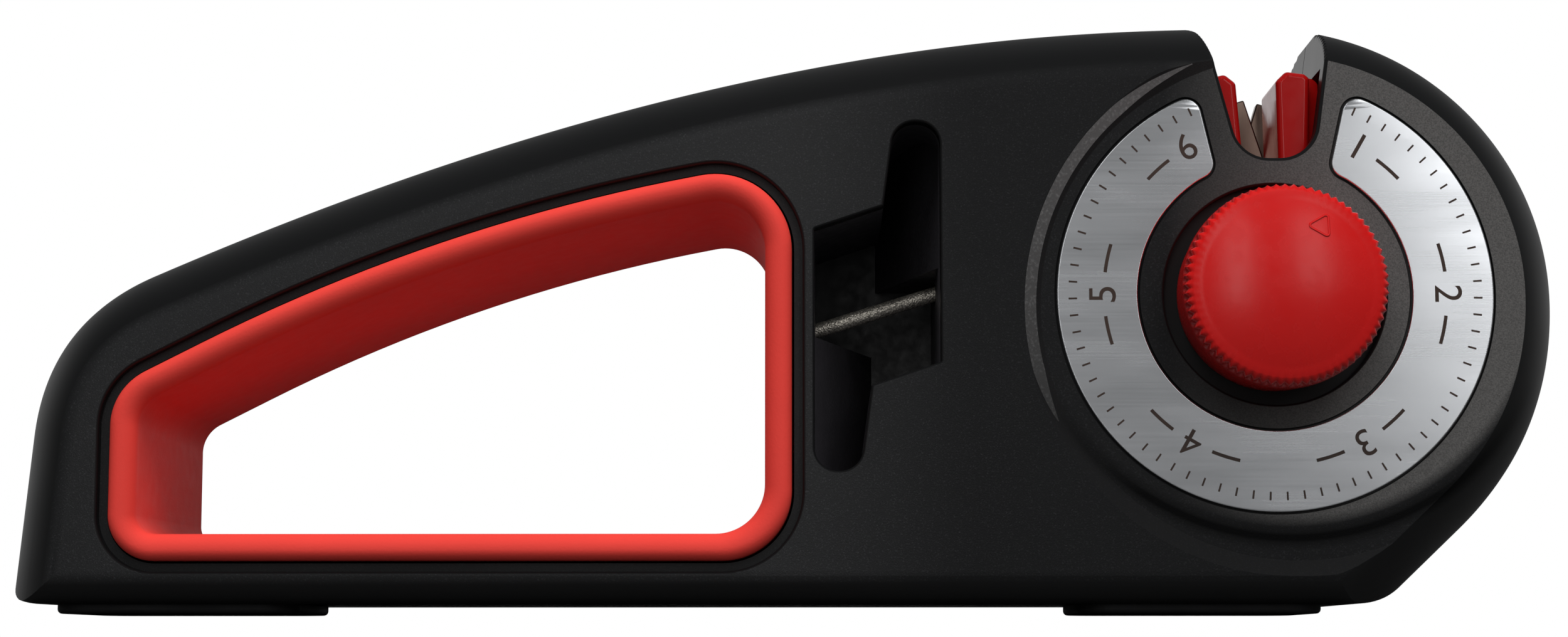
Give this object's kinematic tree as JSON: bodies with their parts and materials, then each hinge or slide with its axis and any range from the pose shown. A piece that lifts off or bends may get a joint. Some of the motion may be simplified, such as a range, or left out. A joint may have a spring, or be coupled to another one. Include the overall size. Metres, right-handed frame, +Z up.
{
  "type": "knife sharpener",
  "caption": "Hand-held pull-through sharpener with a finger opening, a turning dial that brings abrasives to the knife notch, and a scissor slot with one rod.",
  "frame": {"origin": "middle of the bounding box, on the plane that the foot pads rest on", "axes": "+X along the body to the dial head, +Y from the knob side to the rear side, +Z up"},
  "size_m": [0.205, 0.0528, 0.0791],
  "materials": {
    "charcoal_plastic": "fine spark-eroded texture",
    "black_plastic": "satin",
    "red_plastic": "satin",
    "aluminium": "brushed",
    "steel": "bright",
    "carbide": "ground",
    "diamond": "grit",
    "ceramic": "matt",
    "rubber": "matt"
  },
  "bodies": {
    "housing": {"front_housing": "charcoal_plastic", "rear_housing": "charcoal_plastic", "handle_grip": "red_plastic", "dial_ring": "aluminium", "scissor_guide": "black_plastic", "scissor_rod": "diamond", "foot_pad_left": "rubber", "foot_pad_right": "rubber", "housing_screw_1": "steel", "housing_screw_2": "steel", "housing_screw_3": "steel", "housing_screw_4": "steel", "housing_screw_5": "steel", "housing_screw_6": "steel", "detent_spring": "steel", "detent_screw": "steel"},
    "turret": {"knob": "red_plastic", "axle": "steel", "thrust_washer": "steel", "turret_front": "red_plastic", "turret_rear": "red_plastic", "retaining_clip": "steel", "turret_screw_1": "steel", "turret_screw_2": "steel", "turret_screw_3": "steel", "coarse_plate_left": "carbide", "coarse_plate_right": "carbide", "medium_plate_left": "diamond", "medium_plate_right": "diamond", "fine_rod_left": "ceramic", "fine_rod_right": "ceramic", "serrated_rod_left": "diamond", "serrated_rod_right": "diamond", "ceramic_knife_plate_left": "diamond", "ceramic_knife_plate_right": "diamond", "single_bevel_plate_left": "carbide", "single_bevel_plate_right": "carbide"}
  },
  "joints": [
    {"name": "turret_turn", "type": "hinge", "parent": "housing", "child": "turret", "pos_m": [0.0637, 0.0056, 0.0412], "axis": [0, 1, 0], "continuous": true, "deforming": ["detent_spring"]}
  ]
}
